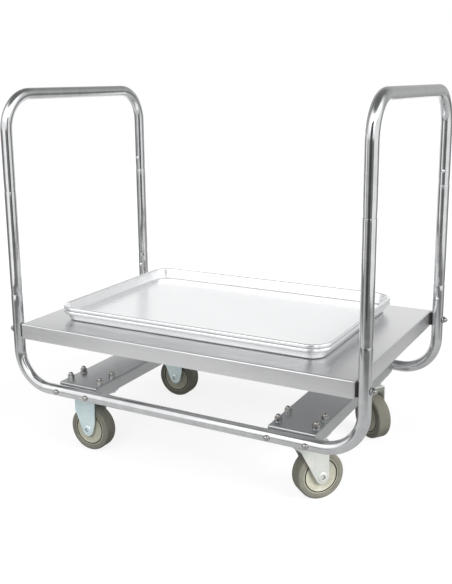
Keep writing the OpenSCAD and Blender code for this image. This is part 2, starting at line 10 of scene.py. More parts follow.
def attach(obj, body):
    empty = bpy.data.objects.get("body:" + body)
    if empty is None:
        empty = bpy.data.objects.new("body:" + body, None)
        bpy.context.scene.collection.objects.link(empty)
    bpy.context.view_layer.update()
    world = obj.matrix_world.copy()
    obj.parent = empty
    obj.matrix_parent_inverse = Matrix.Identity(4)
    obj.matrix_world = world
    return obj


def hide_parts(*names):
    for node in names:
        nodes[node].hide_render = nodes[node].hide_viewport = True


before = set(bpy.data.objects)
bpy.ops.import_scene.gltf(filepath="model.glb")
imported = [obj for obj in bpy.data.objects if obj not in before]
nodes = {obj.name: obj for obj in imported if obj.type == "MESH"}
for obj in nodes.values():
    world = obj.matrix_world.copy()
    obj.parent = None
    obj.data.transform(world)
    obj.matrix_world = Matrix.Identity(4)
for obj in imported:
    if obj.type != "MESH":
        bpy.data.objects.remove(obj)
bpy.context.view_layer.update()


# Camera. A normal lens at chest height, off the front right corner of the trolley,
# turned to the left and a little down, and held half a degree out of level.
camera_place = (0.8592, -1.5938, 0.8282)
camera_turn = 28.93
camera_dip = 12.26
camera_roll = -0.58
camera_data = bpy.data.cameras.new("camera")
camera_data.lens = 50.94
camera_data.shift_x = 0.0074
camera_data.shift_y = -0.0587
camera = bpy.data.objects.new("camera", camera_data)
camera.matrix_world = (
    Matrix.Translation(camera_place)
    @ Matrix.Rotation(math.radians(camera_turn), 4, "Z")
    @ Matrix.Rotation(math.radians(90 - camera_dip), 4, "X")
    @ Matrix.Rotation(math.radians(camera_roll), 4, "Z")
)
bpy.context.scene.collection.objects.link(camera)
bpy.context.scene.camera = camera
bpy.context.scene.view_settings.view_transform = "Standard"


# Studio. White paper underfoot, a white card behind, light cards at the front left and the right,
# and a dark stand by the camera, in a room whose walls turn from pale to dark all round. Three
# soft lamps light it from above, in front and the right.
def linear(hex_colour):
    """Linear colour of an sRGB hex value: each channel through the sRGB curve."""
    srgb = np.array([int(hex_colour[i:i + 2], 16) for i in (1, 3, 5)]) / 255
    value = np.where(srgb <= 0.04045, srgb / 12.92, ((srgb + 0.055) / 1.055) ** 2.4)
    return (*value.tolist(), 1.0)


def add(owner, kind, settings=None, links=None):
    """Adds one shader node; settings name its properties or inputs, and links name the sockets
    that feed its inputs. A ramp's stops are (position, grey level or colour)."""
    tree = owner.node_tree
    node = tree.nodes.new("ShaderNode" + kind)
    for key, value in (settings or {}).items():
        if key == "stops":
            ramp = node.color_ramp
            while len(ramp.elements) < len(value):
                ramp.elements.new(0.5)
            for element, (place, colour) in zip(ramp.elements, value):
                element.position = place
                element.color = colour if isinstance(colour, tuple) else (colour, colour, colour, 1)
        elif isinstance(key, int) or key in node.inputs:
            node.inputs[key].default_value = value
        else:
            setattr(node, key, value)
    for key, socket in (links or {}).items():
        tree.links.new(socket, node.inputs[key])
    return node


to_camera = (0.484, -0.875, 0)
to_right = (0.875, 0.484, 0)
world = bpy.data.worlds.new("studio")
bpy.context.scene.world = world
world.use_nodes = True
world.node_tree.nodes.clear()
direction = add(world, "TexCoord").outputs["Generated"]
up = add(world, "SeparateXYZ", links={0: direction}).outputs["Z"]
toward = add(world, "VectorMath", {"operation": "DOT_PRODUCT", 1: to_camera},
             {0: direction}).outputs["Value"]
rightward = add(world, "VectorMath", {"operation": "DOT_PRODUCT", 1: to_right},
                {0: direction}).outputs["Value"]
around = add(world, "Math", {"operation": "ARCTAN2"}, {0: rightward, 1: toward}).outputs[0]
around = add(world, "MapRange", {"From Min": -math.pi, "From Max": math.pi}, {"Value": around}).outputs[0]
# Round the room at eye level, from behind by the left to the camera in the middle, and back by the right
eye_level = add(world, "ValToRGB", {"stops": [
    (0.0, 0.45), (0.09, 0.4), (0.17, 0.3), (0.25, 0.22), (0.296, 0.44), (0.336, 0.82), (0.358, 0.38),
    (0.414, 0.24), (0.5, 0.24), (0.6, 0.25), (0.66, 0.6), (0.72, 0.6), (0.77, 0.3), (0.82, 0.25),
    (0.87, 0.6), (0.93, 0.3), (1.0, 0.45)]}, {"Fac": around}).outputs[0]
# From the horizon to straight up, towards the camera and behind the trolley
front_sky = add(world, "ValToRGB", {"stops": [
    (0.0, 0.95), (0.25, 1.35), (0.5, 2.0), (0.66, 2.5), (0.79, 2.2), (0.88, 0.6), (0.93, 0.2), (1.0, 0.2)]},
    {"Fac": up}).outputs[0]
back_sky = add(world, "ValToRGB", {"stops": [
    (0.0, 0.6), (0.15, 0.55), (0.5, 0.48), (0.75, 0.25), (1.0, 0.2)]}, {"Fac": up}).outputs[0]
facing = add(world, "MapRange", {"From Min": -0.3, "From Max": 0.3}, {"Value": toward}).outputs[0]
sky = add(world, "MixRGB", links={"Fac": facing, "Color1": back_sky, "Color2": front_sky}).outputs[0]
rise = add(world, "MapRange", {"From Min": -0.02, "From Max": 0.08}, {"Value": up}).outputs[0]
seen = add(world, "MixRGB", links={"Fac": rise, "Color1": eye_level, "Color2": sky}).outputs[0]
# Well below the horizon there is pale paper again
fall = add(world, "MapRange", {"From Min": -0.35, "From Max": -0.6}, {"Value": up}).outputs[0]
seen = add(world, "MixRGB", {"Color2": (0.8, 0.8, 0.8, 1)}, {"Fac": fall, "Color1": seen}).outputs[0]
# Polished metal sees the room in full, matt surfaces get a quarter of its light, and the camera sees white
room = add(world, "Background", {"Strength": 1.0}, {"Color": seen}).outputs[0]
dim_room = add(world, "Background", {"Strength": 0.26}, {"Color": seen}).outputs[0]
paper = add(world, "Background", {"Color": (1, 1, 1, 1), "Strength": 1.0}).outputs[0]
ray = add(world, "LightPath").outputs
room = add(world, "MixShader", links={0: ray["Is Diffuse Ray"], 1: room, 2: dim_room}).outputs[0]
direct = add(world, "Math", {"operation": "MAXIMUM"},
             {0: ray["Is Camera Ray"], 1: ray["Is Transmission Ray"]}).outputs[0]
shown = add(world, "MixShader", links={0: direct, 1: room, 2: paper}).outputs[0]
add(world, "OutputWorld", links={"Surface": shown})


def soft_box(name, place, target, size, power):
    """A square area lamp at place that faces target, and that polished surfaces don't show."""
    lamp = bpy.data.lights.new(name, "AREA")
    lamp.size = size
    lamp.energy = power
    holder = bpy.data.objects.new(name, lamp)
    bpy.context.scene.collection.objects.link(holder)
    holder.location = place
    aim = np.subtract(target, place)
    level = math.hypot(aim[0], aim[1])
    holder.rotation_euler = (math.atan2(level, -aim[2]), 0, math.atan2(-aim[0], aim[1]))
    holder.visible_glossy = False


soft_box("top_lamp", (-0.5, -0.5, 2.4), (0, 0, 0.3), 1.8, 17)
soft_box("front_lamp", (0.2, -2.4, 1.9), (0, 0, 0.2), 1.1, 29)
soft_box("right_lamp", (2.3, -0.4, 1.3), (0, 0, 0.2), 1.1, 47)


def panel(name, centre, width, low, high, level):
    """An upright card that faces the trolley, glows at the given level, and that only polished
    surfaces see. Its corners are its centre plus and minus half its width, square to the line from
    the middle, at heights low and high."""
    across = np.array([-centre[1], centre[0]]) / math.hypot(*centre) * width / 2
    rows = [(*(np.array(centre) + s * across), z) for s, z in ((-1, low), (1, low), (1, high), (-1, high))]
    mesh = bpy.data.meshes.new(name)
    mesh.from_pydata(rows, [], [[0, 1, 2, 3]])
    card = bpy.data.objects.new(name, mesh)
    bpy.context.scene.collection.objects.link(card)
    paint = bpy.data.materials.new(name)
    paint.use_nodes = True
    paint.node_tree.nodes.clear()
    shine = add(paint, "Emission", {"Color": (1, 1, 1, 1), "Strength": level}).outputs[0]
    add(paint, "OutputMaterial", links={"Surface": shine})
    mesh.materials.append(paint)
    card.visible_camera = card.visible_diffuse = card.visible_shadow = card.visible_transmission = False


panel("camera_stand", (0.44, -0.72), 0.34, 0.28, 1.15, 0.09)
panel("left_light_panel", (-0.4, -0.62), 0.36, 0.3, 0.85, 1.35)
panel("right_light_panel", (1.25, -0.2), 1.25, 0.22, 1.3, 1.15)
panel("white_back_card", (-0.55, 0.95), 2.3, 0.0, 0.85, 1.03)

paper_r = 30.0
paper_sides = 96
floor_mesh = bpy.data.meshes.new("floor")
turn = np.linspace(0, 2 * np.pi, paper_sides + 1)[:-1]
rim = np.stack([paper_r * np.cos(turn), paper_r * np.sin(turn), 0 * turn], 1)
floor_mesh.from_pydata(rim.tolist(), [], [list(range(paper_sides))])
floor = bpy.data.objects.new("floor", floor_mesh)
bpy.context.scene.collection.objects.link(floor)
paper_floor = bpy.data.materials.new("white_paper_floor")
paper_floor.use_nodes = True
paper_floor.node_tree.nodes.clear()
ray = add(paper_floor, "LightPath").outputs
place = add(paper_floor, "TexCoord").outputs["Object"]
reach = add(paper_floor, "VectorMath", {"operation": "LENGTH"}, {0: place}).outputs["Value"]
# Away from the trolley only the camera sees the paper, and everything else sees the room
beyond = add(paper_floor, "MapRange", {"From Min": 0.95, "From Max": 1.3}, {"Value": reach}).outputs[0]
unseen = add(paper_floor, "Math", {"operation": "SUBTRACT", 0: 1.0}, {1: ray["Is Camera Ray"]}).outputs[0]
open_floor = add(paper_floor, "Math", {"operation": "MULTIPLY"}, {0: beyond, 1: unseen}).outputs[0]
# To the camera the paper fades to pure white with distance, and keeps the shadow under the trolley
lit = add(paper_floor, "BsdfDiffuse", {"Color": linear("#7E7E7E")}).outputs[0]
glow = add(paper_floor, "MapRange", {"From Min": 0.7, "From Max": 1.6, "To Min": 0.84, "To Max": 1.0},
           {"Value": reach}).outputs[0]
bright = add(paper_floor, "Math", {"operation": "MULTIPLY"}, {0: ray["Is Camera Ray"], 1: glow}).outputs[0]
# Polished metal sees the paper brighter on the left
along = add(paper_floor, "SeparateXYZ", links={0: place}).outputs["X"]
sheen = add(paper_floor, "MapRange", {"From Min": -0.7, "From Max": 0.4, "To Min": 0.62, "To Max": 0.4},
            {"Value": along}).outputs[0]
bright = add(paper_floor, "Math", {"operation": "MULTIPLY_ADD"},
             {0: ray["Is Glossy Ray"], 1: sheen, 2: bright}).outputs[0]
glow = add(paper_floor, "Emission", {"Color": (1, 1, 1, 1)}, {"Strength": bright}).outputs[0]
lit = add(paper_floor, "AddShader", links={0: lit, 1: glow}).outputs[0]
clear = add(paper_floor, "BsdfTransparent").outputs[0]
shown = add(paper_floor, "MixShader", links={0: open_floor, 1: lit, 2: clear}).outputs[0]
add(paper_floor, "OutputMaterial", links={"Surface": shown})
floor_mesh.materials.append(paper_floor)


# Frame tubes. Furniture tube of stainless steel, 25.4 by 1.5 mm, bent cold and polished
# along its length. Each upper tube is drawn in at its foot and sits on a lower tube's rolled lip.
tube_r = 12.7
tube_bore_r = 11.2
tube_sides = 64
leg_x = 407.0
leg_y = 250.5
rail_z = 153.0
rail_bend_r = 80
bar_z = 799.0
bar_bend_r = 78
low_joint_z = 362.0
high_joint_z = 592.0
joint_gap = 0.1
neck_length = 23
neck_drop = 0.6
clear_of_ends = 26
outside_step = 5
bore_step = 12
ends = ((-1, "front"), (1, "rear"))
hands = ((-1, "left"), (1, "right"))
sharp_edge = math.radians(32)
mm = 0.001
weld_within = 1e-6
sliver_under = 1e-7


def rings(centres, across, up, radii):
    """Circles: centre plus radius times (across cos a + up sin a), one row for each centre."""
    a = np.linspace(0, 2 * np.pi, tube_sides, endpoint=False)[None, :, None]
    r = np.asarray(radii, float)[:, None, None]
    return centres[:, None, :] + r * (across[:, None, :] * np.cos(a) + up[:, None, :] * np.sin(a))


def piece(name, grids, material, body, stands_for, ends="open", grime=None):
    """One object from grids of points in mm, each closed round its rows. Ends are open, closed, where
    the last row joins the first, or capped, with one flat face at each end. Shade_and_grime, one value
    for each row, becomes the mesh attribute that darkens a material: painted shade in grooves, bores
    and treads, and dirt on a hub's rim."""
    points, faces, first = [], [], 0
    for grid in grids:
        rows, columns = grid.shape[:2]
        index = first + np.arange(rows * columns).reshape(rows, columns)
        if ends == "closed":
            index = np.vstack([index, index[:1]])
        a, b = index[:-1], index[1:]
        faces += np.stack([a, np.roll(a, -1, 1), np.roll(b, -1, 1), b], -1).reshape(-1, 4).tolist()
        if ends == "capped":
            faces += [index[0][::-1].tolist(), index[-1].tolist()]
        points.append(grid.reshape(-1, 3))
        first += rows * columns
    mesh = bpy.data.meshes.new(name)
    mesh.from_pydata((np.concatenate(points) * mm).tolist(), [], faces)
    if grime is not None:
        depth = np.concatenate([np.repeat(np.asarray(grime, float), grid.shape[1]) for grid in grids])
        mesh.attributes.new("grime", "FLOAT", "POINT").data.foreach_set("value", depth)
    work = bmesh.new()
    work.from_mesh(mesh)
    bmesh.ops.remove_doubles(work, verts=work.verts, dist=weld_within)
    bmesh.ops.dissolve_degenerate(work, edges=work.edges, dist=sliver_under)
    bmesh.ops.recalc_face_normals(work, faces=work.faces)
    work.to_mesh(mesh)
    work.free()
    mesh.shade_smooth()
    mesh.set_sharp_from_angle(angle=sharp_edge)
    mesh.materials.append(material)
    made = bpy.data.objects.new(name, mesh)
    bpy.context.scene.collection.objects.link(made)
    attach(made, body)
    if stands_for:
        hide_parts(*stands_for)


def keep_node(node, material):
    """Gives the real finish to a CAD node that stays."""
    nodes[node].data.materials.clear()
    nodes[node].data.materials.append(material)


def finish(name, metallic=0.0):
    """A new material named for its finish, with its shader and the Object coordinates of its piece."""
    made = bpy.data.materials.new(name)
    made.use_nodes = True
    shader = made.node_tree.nodes["Principled BSDF"]
    shader.inputs["Metallic"].default_value = metallic
    return made, shader, add(made, "TexCoord").outputs["Object"]


def feed(made, shader, sources):
    """Links each named input of a material's shader to the socket that feeds it."""
    for name, source in sources.items():
        made.node_tree.links.new(source, shader.inputs[name])


def hoop(half_span, joint, middle, bend):
    """Centre line of a U: leg, quarter bend, straight middle, quarter bend, leg, as (along, height).
    The left half is worked out, and the right half is its mirror image."""
    side = 1 if joint > middle else -1
    turn = np.linspace(0, np.pi / 2, 31)
    leg = np.stack([np.full(40, -half_span), np.linspace(joint, middle + side * bend, 41)[:-1]], 1)
    arc = np.stack([-half_span + bend * (1 - np.cos(turn)), middle + side * bend * (1 - np.sin(turn))], 1)
    straight = np.stack([np.linspace(-half_span + bend, 0, 60)[1:], np.full(59, middle)], 1)
    left = np.concatenate([leg, arc, straight])
    return np.concatenate([left, (left[:-1] * [-1, 1])[::-1]])


def walk(path, stations):
    """Point and unit direction on a path at given distances from its start. The direction is
    the difference of the points half a millimetre ahead and behind."""
    step = np.linalg.norm(np.diff(path, axis=0), axis=1)
    far = np.concatenate([[0], np.cumsum(step)])
    spot, ahead, back = (np.stack([np.interp(stations + shift, far, path[:, k]) for k in range(2)], 1)
                         for shift in (0, 0.5, -0.5))
    way = ahead - back
    return spot, way / np.linalg.norm(way, axis=1)[:, None]


def tube_end(narrow):
    """Wall at a tube's end as (distance, radius): a half round lip, or a neck drawn in on a cosine
    to a square end."""
    if narrow:
        ease = np.linspace(0, 1, 9)
        drawn_in = neck_drop * (0.5 - 0.5 * np.cos(np.pi * ease))
        outer = np.stack([neck_length * (1 - ease), tube_r - drawn_in], 1)
        return np.concatenate([outer, [[0.0, tube_r - 0.9], [0.0, tube_bore_r]]])
    turn = np.linspace(0, np.pi, 9)
    half_wall = (tube_r - tube_bore_r) / 2
    return np.stack([half_wall * (1 - np.sin(turn)), tube_bore_r + half_wall * (1 + np.cos(turn))], 1)


def tube_wall(path, across, narrow_start, narrow_end):
    """Closed wall of a tube: near end, outside, far end, and the bore back to the start, each
    point set off from the path by its radius."""
    length = np.linalg.norm(np.diff(path, axis=0), axis=1).sum()
    body = np.linspace(clear_of_ends, length - clear_of_ends, int(length / outside_step))
    outside = np.stack([body, np.full(body.size, tube_r)], 1)
    bore = np.linspace(length - clear_of_ends, clear_of_ends, int(length / bore_step))
    inside = np.stack([bore, np.full(bore.size, tube_bore_r)], 1)
    near = tube_end(narrow_start)[::-1]
    far = tube_end(narrow_end) * [-1, 1] + [length, 0]
    profile = np.concatenate([near, outside, far, inside])
    spot, way = walk(path, profile[:, 0])
    side = np.stack([-way[:, 1], way[:, 0]], 1)
    lift = np.array([across, [0, 0, 1]], float)
    normal = np.cross(across, [0, 0, 1])
    return rings(spot @ lift, side @ lift, np.tile(normal, (len(profile), 1)), profile[:, 1])


# Near mirror steel: polishing leaves marks too fine to see one by one, and faint cloudy patches
# about 20 mm long, so that the light and dark bands along a tube soften and sharpen
polished_tube, shader, place = finish("polished_stainless_tube", 1.0)
cloud = add(polished_tube, "TexNoise", {"Scale": 45.0, "Detail": 3.0}, {"Vector": place}).outputs[0]
rough = add(polished_tube, "MapRange", {"From Min": 0.3, "From Max": 0.7, "To Min": 0.07,
                                        "To Max": 0.13}, {"Value": cloud}).outputs[0]
tint = add(polished_tube, "ValToRGB", {"stops": [(0.3, linear("#C6C7C8")), (0.7, linear("#D4D5D6"))]},
           {"Fac": cloud}).outputs[0]
feed(polished_tube, shader, {"Roughness": rough, "Base Color": tint})

for sy, end in ends:
    wall = tube_wall(hoop(leg_x, low_joint_z, rail_z, rail_bend_r), (1, 0, 0), False, False)
    piece(end + "_lower_rail", [wall + [0, sy * leg_y, 0]], polished_tube, "trolley",
          [end + "_bottom_tube"], "closed")
    for sx, hand in hands:
        leg = np.stack([np.zeros(80), np.linspace(low_joint_z + joint_gap, high_joint_z, 80)], 1)
        wall = tube_wall(leg, (1, 0, 0), True, False)
        piece(end + "_" + hand + "_upright", [wall + [sx * leg_x, sy * leg_y, 0]], polished_tube,
              "trolley", ["post_" + end + "_" + hand], "closed")
for sx, hand in hands:
    wall = tube_wall(hoop(leg_y, high_joint_z + joint_gap, bar_z, bar_bend_r), (0, 1, 0), True, True)
    piece(hand + "_push_handle", [wall + [sx * leg_x, 0, 0]], polished_tube, "trolley",
          ["handle_" + hand], "closed")


# Joint sleeves and screws. Each joint has a short inner sleeve, which stays hidden, and one
# small polished dome screw on the side of the leg that faces into the frame.
screw_from_joint = 31


def lathe(profile, count=48, flats=0.0):
    """Turned surface: (radius, height) rows round +Z. With flats, each row's radius stops at a hexagon
    of that width across flats, so that a wider row meets it as a nut's chamfer does."""
    a = np.linspace(0, 2 * np.pi, count, endpoint=False)
    profile = np.asarray(profile, float)
    r = np.repeat(profile[:, :1], count, 1)
    if flats:
        off = np.mod(a + np.pi / 6, np.pi / 3) - np.pi / 6
        r = np.minimum(r, flats / 2 / np.cos(off)[None, :])
    h = np.repeat(profile[:, 1:], count, 1)
    return np.stack([r * np.cos(a), r * np.sin(a), h], -1)


def stand(grid, origin, axis, spin=0.0):
    """Turns a lathe piece by spin about its own axis, lays local +Z along the axis and moves it
    to the origin: each point times the matrix of the three turned unit vectors."""
    z = np.asarray(axis, float) / np.linalg.norm(axis)
    x = np.cross([0, 0, 1.0], z) if abs(z[2]) < 0.9 else np.array([1.0, 0, 0])
    x = x / np.linalg.norm(x)
    y = np.cross(z, x)
    turned = np.array([math.cos(spin) * x + math.sin(spin) * y, math.cos(spin) * y - math.sin(spin) * x, z])
    return grid @ turned + np.asarray(origin, float)


def dome(radius, height, base=0.0, steps=9):
    """Spherical cap as (radius, height) rows from its rim to its pole. The ball's radius is
    (radius squared + height squared) / twice the height."""
    ball = (radius ** 2 + height ** 2) / (2 * height)
    rim_angle = math.asin(min(radius / ball, 1.0))
    t = np.linspace(math.pi - rim_angle if height > radius else rim_angle, 0, steps)
    return [(ball * math.sin(v), base + height - ball + ball * math.cos(v)) for v in t]


# Turned and polished stainless: bright heads whose gloss changes in spots about 4 mm across
polished_screw, shader, place = finish("polished_stainless_fastener", 1.0)
shader.inputs["Base Color"].default_value = linear("#E2E3E4")
speck = add(polished_screw, "TexNoise", {"Scale": 260.0, "Detail": 2.0}, {"Vector": place}).outputs[0]
rough = add(polished_screw, "MapRange", {"From Min": 0.35, "From Max": 0.65, "To Min": 0.06,
                                         "To Max": 0.14}, {"Value": speck}).outputs[0]
feed(polished_screw, shader, {"Roughness": rough})

corners = [(sx, sy) for sx in (-1, 1) for sy in (-1, 1)]
joint_screw = [(0.0, -7.9), (2.4, -7.9), (2.4, -0.6), (3.6, -0.6), (4.0, -0.2), (4.0, 0.5)]
joint_screw += dome(3.9, 1.9, 0.5)
screws = []
for sx, sy in corners:
    for z in (low_joint_z - screw_from_joint, high_joint_z + screw_from_joint):
        screws.append(stand(lathe(joint_screw, 24), (sx * leg_x, sy * (leg_y - tube_r), z), (0, -sy, 0)))
piece("joint_dome_screws", screws, polished_screw, "trolley", ["joint_screws"])
keep_node("joint_sleeves", polished_tube)


# Deck. One sheet of 1.5 mm stainless with a satin brushed face, its four sides folded down
# into skirts and the corners closed and ground smooth. Two hat sections stiffen it below.
deck_x = 391.3
deck_y = 260.8
deck_z = 297.0
skirt_z = 263.0
deck_sheet = 1.5
deck_fold_r = 3.0
deck_corner_r = 3.2
least_corner_r = 0.4
hat_y = 120
hat_half_length = 367.3


def rounded(half_x, half_y, radius, z, steps):
    """One loop: four quarter turns of the radius about the corner centres of a rectangle."""
    a = np.linspace(0, np.pi / 2, steps)
    a = np.concatenate([a + k * np.pi / 2 for k in range(4)])
    sx = np.repeat([1, -1, -1, 1], steps)
    sy = np.repeat([1, 1, -1, -1], steps)
    return np.stack([sx * (half_x - radius) + radius * np.cos(a),
                     sy * (half_y - radius) + radius * np.sin(a), np.full(a.size, z)], 1)


def tray(half_x, half_y, corner, wall, centre=(0, 0), steps=8):
    """Loops drawn in by each (inset, height) of a wall, with the corner radius less the inset."""
    loops = [rounded(half_x - inset, half_y - inset, max(corner - inset, least_corner_r), z, steps)
             for inset, z in wall]
    return np.stack(loops) + np.array([centre[0], centre[1], 0.0])


def folded_wall(low_z, top_z, sheet, radius):
    """Section of a sheet folded down at its edge: inner face, lip, outer face and bend, as
    (inset, height), with two quarter circles about one centre for the bend."""
    t = np.linspace(0, np.pi / 2, 7)
    inner, outer = ([(radius - r * math.cos(v), top_z - radius + r * math.sin(v)) for v in t]
                    for r in (radius - sheet, radius))
    lip = [(sheet, low_z + 0.25), (sheet - 0.25, low_z), (0.25, low_z), (0.0, low_z + 0.25)]
    return inner[::-1] + lip + outer


def brushed(name, dark, light, roughness, grain=(1.5, 120.0, 120.0), depth=0.02, metallic=1.0):
    """Satin metal: streaks many times longer along the grain, in tint, roughness and bump of the depth
    in mm, over patches about 100 mm across. The finest streaks are 0.7 mm at a grain of 120."""
    made, shader, place = finish(name, metallic)
    along = add(made, "Mapping", {"Scale": grain}, {"Vector": place}).outputs[0]
    streak = add(made, "TexNoise", {"Scale": 12.0, "Detail": 4.0, "Roughness": 0.7},
                 {"Vector": along}).outputs[0]
    patch = add(made, "TexNoise", {"Scale": 9.0, "Detail": 2.0}, {"Vector": place}).outputs[0]
    both = add(made, "MixRGB", {"Fac": 0.2}, {"Color1": streak, "Color2": patch}).outputs[0]
    colour = add(made, "ValToRGB", {"stops": [(0.35, linear(dark)), (0.65, linear(light))]},
                 {"Fac": both}).outputs[0]
    rough = add(made, "MapRange", {"From Min": 0.3, "From Max": 0.7, "To Min": roughness * 0.85,
                                   "To Max": roughness * 1.15}, {"Value": both}).outputs[0]
    bump = add(made, "Bump", {"Strength": 0.25, "Distance": depth * 0.001}, {"Height": streak}).outputs[0]
    feed(made, shader, {"Base Color": colour, "Roughness": rough, "Normal": bump})
    return made


# Brushed along its length, so that reflections blur across the deck and fine lines run from end to end
satin_deck = brushed("satin_brushed_stainless_deck", "#DADBDC", "#E8E8E9", 0.32)
deck_wall = folded_wall(skirt_z, deck_z, deck_sheet, deck_fold_r)
piece("deck_tray", [tray(deck_x, deck_y, deck_corner_r, deck_wall)], satin_deck, "trolley",
      ["deck"], "capped")

hat_section = np.array([
    (-37, 295.5), (-37, 294), (-23, 294), (-23, 274.3), (-22.2, 273.5), (22.2, 273.5), (23, 274.3),
    (23, 294), (37, 294), (37, 295.5), (21.5, 295.5), (21.5, 275.6), (20.9, 275), (-20.9, 275),
    (-21.5, 275.6), (-21.5, 295.5)])
hats = []
for y in (-hat_y, hat_y):
    hats.append(np.stack([np.column_stack([np.full(len(hat_section), x), hat_section + [y, 0]])
                          for x in (-hat_half_length, hat_half_length)]))
piece("deck_hat_sections", hats, satin_deck, "trolley", ["deck_stiffeners"], "capped")


# Deck fixings. A black moulded saddle spacer keeps the deck off each leg; a zinc plated M8 bolt
# runs from inside the skirt through spacer and leg to a polished cap nut on the outside.
saddle_half_w = 7
saddle_reach = 4.6
saddle_bore_r = 12.75
saddle_levels = ((266, 0.9), (266.8, 1), (293.2, 1), (294, 0.9))
hex_af = 13.0
shank_r = 4.0
washer_t = 1.6
deck_bolt_z = 280.0
thread_past_leg = 5
deck_cap_h = 9.0

# Moulded nylon: deep black with a soft gloss and a matt grain of about 1 mm
black_plastic, shader, place = finish("moulded_black_nylon")
mould = add(black_plastic, "TexNoise", {"Scale": 900.0, "Detail": 2.0}, {"Vector": place}).outputs[0]
tint = add(black_plastic, "ValToRGB", {"stops": [(0.3, linear("#161616")), (0.7, linear("#262626"))]},
           {"Fac": mould}).outputs[0]
bump = add(black_plastic, "Bump", {"Strength": 0.3, "Distance": 0.0001}, {"Height": mould}).outputs[0]
feed(black_plastic, shader, {"Base Color": tint, "Normal": bump})
shader.inputs["Roughness"].default_value = 0.45

# Each saddle is flat on the skirt and hollowed to the leg: leg centre less a circle, up to its reach.
# Its levels are (height, share of the width), eased at the foot and the top.
saddle_y = np.linspace(-saddle_half_w, saddle_half_w, 15)
hollow = np.minimum(leg_x - deck_x - np.sqrt(saddle_bore_r ** 2 - saddle_y ** 2), saddle_reach)
saddle_edge = np.concatenate([[[0, saddle_half_w], [0, -saddle_half_w]], np.stack([hollow, saddle_y], 1)])
saddles = []
for sx, sy in corners:
    saddles.append(np.stack([
        np.stack([sx * (deck_x + saddle_edge[:, 0]), sy * leg_y + saddle_edge[:, 1] * taper,
                  np.full(len(saddle_edge), z)], 1)
        for z, taper in saddle_levels]))
piece("deck_saddle_spacers", saddles, black_plastic, "trolley", ["saddle_spacers"],
      "capped")

# Zinc plate on steel: greyer and duller than stainless, cloudy in spots about 3 mm across
zinc_screw, shader, place = finish("zinc_plated_fastener", 1.0)
speck = add(zinc_screw, "TexNoise", {"Scale": 320.0, "Detail": 3.0}, {"Vector": place}).outputs[0]
tint = add(zinc_screw, "ValToRGB", {"stops": [(0.3, linear("#B4BABC")), (0.7, linear("#D0D6D8"))]},
           {"Fac": speck}).outputs[0]
rough = add(zinc_screw, "MapRange", {"From Min": 0.3, "From Max": 0.7, "To Min": 0.22, "To Max": 0.36},
            {"Value": speck}).outputs[0]
feed(zinc_screw, shader, {"Base Color": tint, "Roughness": rough})

# Cap nuts and dome heads: polished stainless like the screws, on a darker base colour that is painted shade
# for the dark underside they mirror
shade_darkened_cap = polished_screw.copy()
shade_darkened_cap.name = "polished_stainless_cap_nut"
shade_darkened_cap.node_tree.nodes["Principled BSDF"].inputs["Base Color"].default_value = linear("#AEADAA")

bolt_head = [(0.0, -5.3), (5.6, -5.3), (6.3, -5.25), (7.1, -4.7), (7.6, -4.3), (7.6, -0.2), (7.3, 0.0)]
plain_washer = [(4.15, 0.0), (7.85, 0.0), (8.0, 0.15), (8.0, 1.45), (7.85, washer_t), (4.15, washer_t)]


def bolt(length):
    """Hexagon head below the origin and a shank of the length above it."""
    return bolt_head + [(shank_r, 0.0), (shank_r, length - 0.8), (shank_r - 0.8, length), (0.0, length)]


def cap_nut(height):
    """Polished cap nut: chamfered hexagon, then a round dome; the blind bore is 4.05 mm in radius."""
    shoulder = height - 6.4
    bore = [(0.0, height - 3), (4.05, height - 3), (4.05, 0.3), (4.5, 0.0)]
    hexagon = [(6.6, 0.0), (7.1, 0.15), (7.6, 0.6), (7.6, shoulder - 0.7), (7.0, shoulder),
               (5.4, shoulder + 0.05)]
    return bore + hexagon + dome(5.4, height - shoulder - 0.1, shoulder + 0.1, 13)


head_x = deck_x - deck_sheet - washer_t
leg_face_x = leg_x + tube_r
deck_bolt = lathe(bolt(leg_face_x + thread_past_leg - head_x), 36, hex_af)
washer = lathe(plain_washer, 36)
short_cap = lathe(cap_nut(deck_cap_h), 36, hex_af)
deck_screws, deck_rings, deck_caps = [], [], []
for sx, sy in corners:
    spot = np.array([0, sy * leg_y, deck_bolt_z])
    way = (sx, 0, 0)
    deck_screws.append(stand(deck_bolt, spot + [sx * head_x, 0, 0], way))
    for x in (head_x, leg_face_x):
        deck_rings.append(stand(washer, spot + [sx * x, 0, 0], way))
    deck_caps.append(stand(short_cap, spot + [sx * (leg_face_x + washer_t), 0, 0], way))
piece("deck_hex_bolts", deck_screws, zinc_screw, "trolley", ["deck_bolts"])
piece("deck_plain_washers", deck_rings, zinc_screw, "trolley", ["deck_washers"], "closed")
piece("deck_acorn_nuts", deck_caps, shade_darkened_cap, "trolley", ["deck_cap_nuts"])


# Cross channels. Two folded pans of 2 mm stainless, open side down, with their ends turned
# down against the bottom rails and bolted through them with dome headed M8 bolts.
channel_x = 258.0
channel_half_w = 51
channel_half_l = 237.8
channel_z = 168.0
channel_sheet = 2.0
channel_fold_r = 3.5
channel_corner_r = 3.7
caster_y = 187.0
caster_z = 141.0
plate_under_z = 138.0
bolt_dx = 40
bolt_dy = 23
caster_shank = 39.5
caster_cap_h = 13.5
nut_inset = 27.4

# Duller than the deck: a coarser belt across the trolley, and a darker tint that is painted shade for its
# place below the deck
satin_channel = brushed("satin_brushed_stainless_channel", "#B0B1B2", "#C6C7C8", 0.36, (120.0, 1.5, 120.0))
channel_wall = folded_wall(caster_z, channel_z, channel_sheet, channel_fold_r)
for sx, hand in hands:
    wall = tray(channel_half_w, channel_half_l, channel_corner_r, channel_wall, (sx * channel_x, 0))
    piece(hand + "_cross_channel", [wall], satin_channel, "trolley", ["channel_" + hand],
          "capped")

